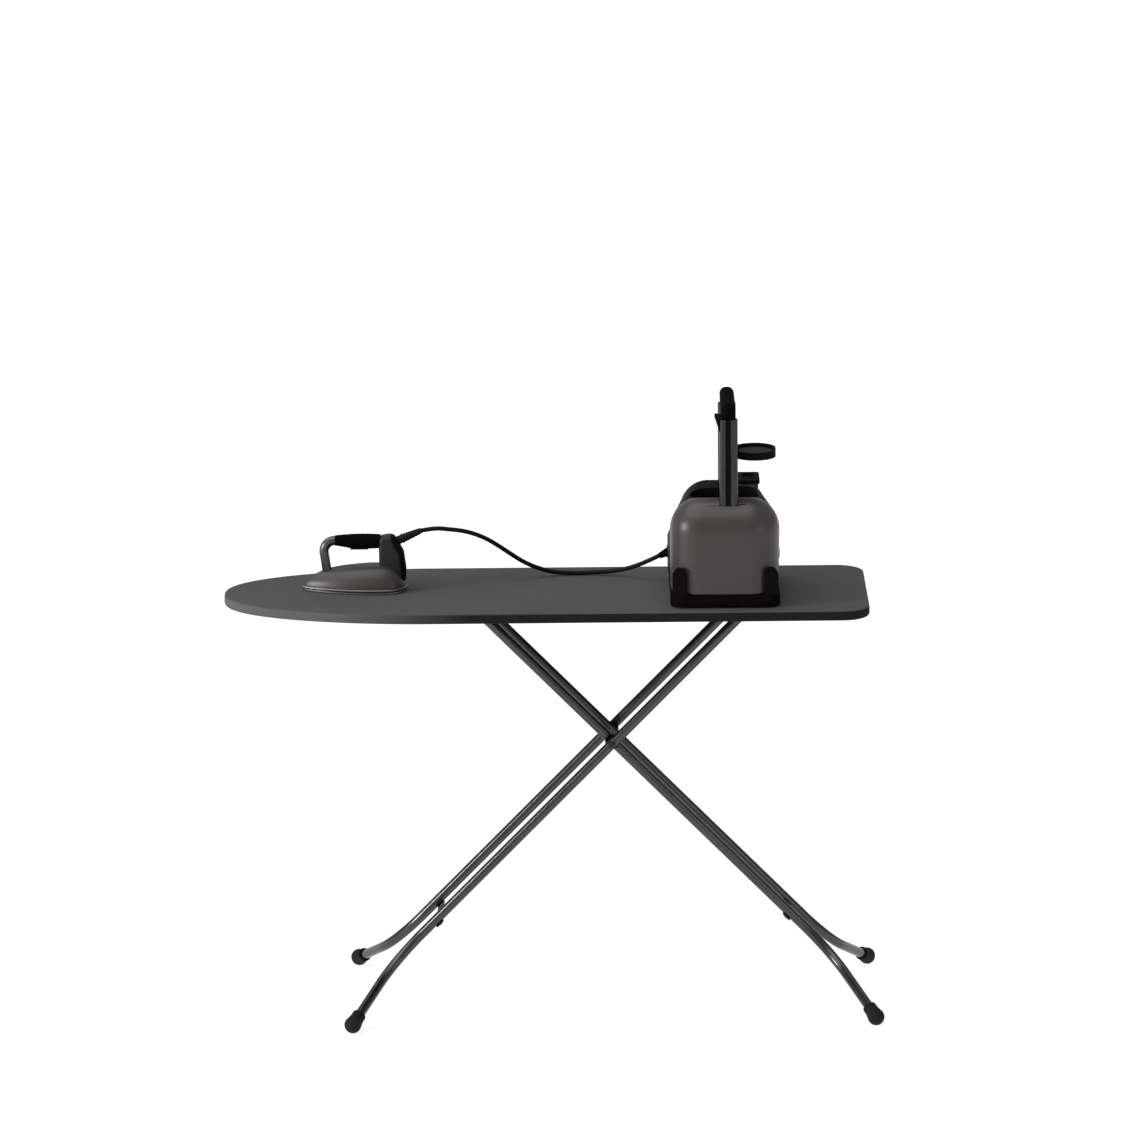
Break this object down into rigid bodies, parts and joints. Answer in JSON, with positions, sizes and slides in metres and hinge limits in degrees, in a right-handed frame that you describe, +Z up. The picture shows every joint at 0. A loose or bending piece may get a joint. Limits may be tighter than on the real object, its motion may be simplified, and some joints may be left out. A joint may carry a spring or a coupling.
{
  "type": "ironing table with steam iron station",
  "caption": "Folding ironing board on crossed tube legs, with a steam station on its square end, a steam iron on its nose end and a hose between them.",
  "frame": {"origin": "on the floor, under the middle of the object's box", "axes": "+X along the board from its nose to its square end, +Y across it away from the user's side, +Z up"},
  "size_m": [1.3175, 0.514, 1.258],
  "materials": {
    "cover_cloth": "matte weave",
    "pad_felt": "felt",
    "board_steel": "powder coat",
    "leg_tube": "gunmetal satin",
    "bright_steel": "satin",
    "foot_rubber": "matte",
    "black_plastic": "fine grain",
    "shell_plastic": "satin taupe",
    "tank_plastic": "smoked",
    "post_metal": "anodised",
    "sole_metal": "polished",
    "circuit": "printed circuit",
    "hose_braid": "braided sleeve"
  },
  "bodies": {
    "board": {"board_frame": "board_steel", "board_pad": "pad_felt", "board_cover": "cover_cloth", "lock_rail": "board_steel", "hinge_bracket": "board_steel", "lever_pin": "bright_steel", "lever_spring": "bright_steel"},
    "lever": {"height_lever": "board_steel", "lever_grip": "black_plastic"},
    "outer_leg": {"outer_tube_near": "leg_tube", "outer_tube_far": "leg_tube", "outer_top_bar": "leg_tube", "outer_brace": "board_steel", "outer_foot_near": "foot_rubber", "outer_foot_far": "foot_rubber", "pivot_bolt_near": "bright_steel", "pivot_bolt_far": "bright_steel"},
    "inner_leg": {"inner_tube_near": "leg_tube", "inner_tube_far": "leg_tube", "inner_cross_bar": "leg_tube", "inner_brace": "board_steel", "inner_foot_near": "foot_rubber", "inner_foot_far": "foot_rubber", "pivot_block_near": "black_plastic", "pivot_block_far": "black_plastic"},
    "station": {"station_base": "black_plastic", "cord_posts": "black_plastic", "station_feet": "foot_rubber", "front_shell": "shell_plastic", "rear_housing": "black_plastic", "park_mat": "foot_rubber", "boiler": "bright_steel", "pump": "black_plastic", "circuit_board": "circuit", "hose_gland": "foot_rubber", "mains_inlet": "black_plastic", "inlet_pins": "bright_steel", "steam_hose": "hose_braid"},
    "power_button": {"power_button": "black_plastic"},
    "handle": {"handle_post_front": "post_metal", "handle_post_rear": "post_metal", "handle_grip": "black_plastic", "side_tray": "black_plastic", "tray_mat": "foot_rubber", "tray_bracket": "black_plastic", "hose_hook": "black_plastic"},
    "tank": {"water_tank": "tank_plastic", "tank_lid": "black_plastic"},
    "iron": {"soleplate": "sole_metal", "sole_trim": "sole_metal", "heater": "sole_metal", "iron_cover": "shell_plastic", "iron_handle": "post_metal", "iron_grip": "foot_rubber", "iron_column": "shell_plastic", "iron_rear_cover": "black_plastic", "hose_relief": "foot_rubber"},
    "trigger": {"steam_trigger": "black_plastic"}
  },
  "joints": [
    {"name": "outer_leg_fold", "type": "hinge", "parent": "board", "child": "outer_leg", "pos_m": [0.37609, 0, 0.81063], "axis": [0, 1, 0], "range_deg": [0, 44]},
    {"name": "inner_leg_fold", "type": "hinge", "parent": "outer_leg", "child": "inner_leg", "pos_m": [0.117, 0, 0.54789], "axis": [0, 1, 0], "range_deg": [-88, 0]},
    {"name": "lever_pull", "type": "hinge", "parent": "board", "child": "lever", "pos_m": [-0.074, 0, 0.82003], "axis": [0, 1, 0], "range_deg": [0, 8.5], "stiffness_Nm_per_rad": 2, "deforming": ["lever_spring"]},
    {"name": "station_lift", "type": "slide", "parent": "board", "child": "station", "axis": [0, 0, 1], "range_m": [0, 0.12]},
    {"name": "power_press", "type": "slide", "parent": "station", "child": "power_button", "axis": [-1, 0, 0], "range_m": [0, 0.0018], "stiffness_N_per_m": 800},
    {"name": "handle_lower", "type": "slide", "parent": "station", "child": "handle", "axis": [0, 0, 1], "range_m": [-0.06, 0]},
    {"name": "tank_lift", "type": "slide", "parent": "station", "child": "tank", "axis": [0, 0, 1], "range_m": [0, 0.17]},
    {"name": "iron_lift", "type": "slide", "parent": "station", "child": "iron", "axis": [0, 0, 1], "range_m": [0, 0.15], "deforming": ["steam_hose"]},
    {"name": "trigger_press", "type": "slide", "parent": "iron", "child": "trigger", "axis": [0, 0, 1], "range_m": [0, 0.003], "stiffness_N_per_m": 600}
  ],
  "couplings": [
    {"joint": "inner_leg_fold", "follows": "outer_leg_fold", "ratio": -2}
  ]
}
